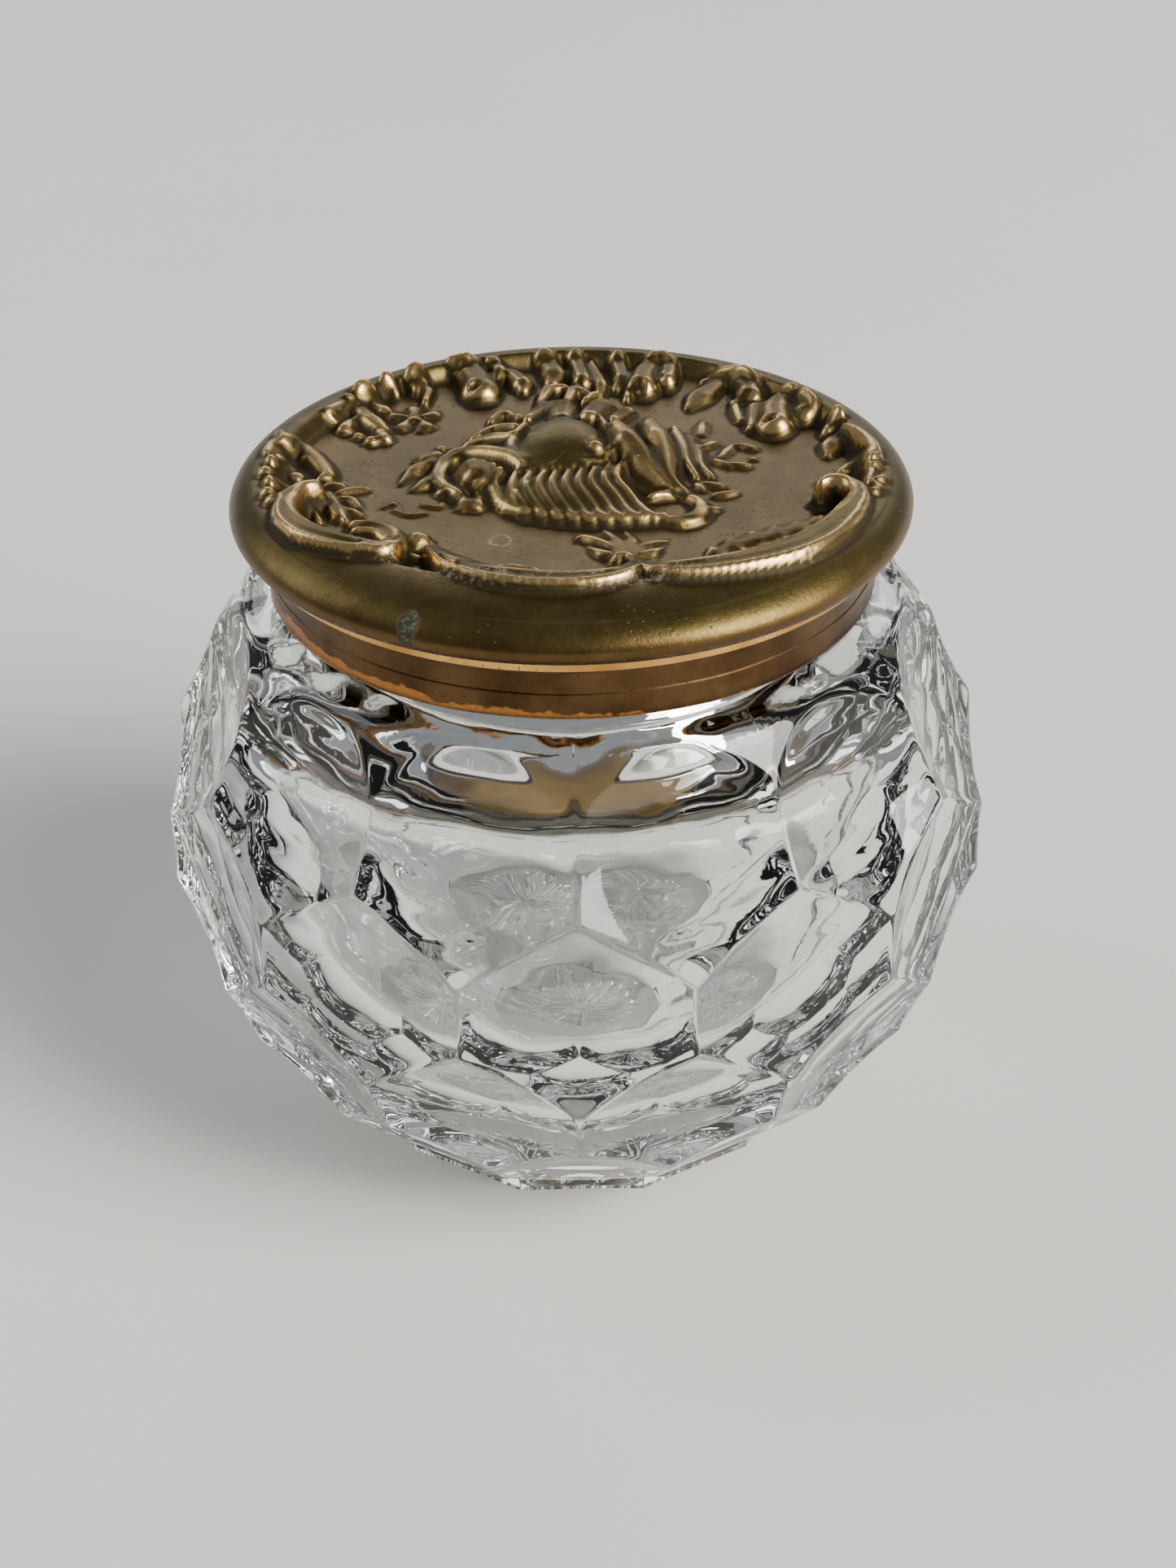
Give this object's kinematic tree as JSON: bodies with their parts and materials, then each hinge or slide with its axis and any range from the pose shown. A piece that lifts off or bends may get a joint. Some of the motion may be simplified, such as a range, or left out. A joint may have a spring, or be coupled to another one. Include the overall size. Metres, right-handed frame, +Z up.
{
  "type": "inkwell",
  "caption": "Round desk inkwell: a thick clear glass jar pressed with hexagonal thumbprint facets, with a brass collar and a hinged brass lid chased with scrolls and leaves.",
  "frame": {"origin": "centre of the jar's resting face, on the surface it stands on", "axes": "+Z up along the jar's axis, -Y towards the front where the lid is lifted, hinge at +Y"},
  "size_m": [0.0998, 0.0998, 0.089],
  "materials": {
    "glass": "clear thick pressed glass, fire polished",
    "plaster": "old bedding plaster",
    "collar_brass": "aged brass, brown patina, worn at the lower edge",
    "ring_brass": "worn bright brass",
    "lid_brass": "pressed brass with an olive-brown patina, relief worn bright",
    "liner_brass": "dull sheet brass, dark from ink",
    "hinge_brass": "turned brass tube and sheet, worn",
    "pin_steel": "drawn wire, dulled"
  },
  "bodies": {
    "jar": {"glass_body": "glass", "neck_plaster": "plaster", "collar_band": "collar_brass", "collar_seat_ring": "collar_brass", "hinge_bearer_collar": "hinge_brass", "hinge_knuckle_collar_left": "hinge_brass", "hinge_knuckle_collar_middle": "hinge_brass", "hinge_knuckle_collar_right": "hinge_brass", "hinge_pin": "pin_steel"},
    "lid": {"lid_shell": "lid_brass", "lid_rim_ring": "ring_brass", "lid_liner": "liner_brass", "hinge_bearer_lid": "hinge_brass", "hinge_knuckle_lid_left": "hinge_brass", "hinge_knuckle_lid_right": "hinge_brass"}
  },
  "joints": [
    {"name": "lid_hinge", "type": "hinge", "parent": "jar", "child": "lid", "pos_m": [0, 0.0412, 0.08073], "axis": [-1, 0, 0], "range_deg": [0, 105]}
  ]
}
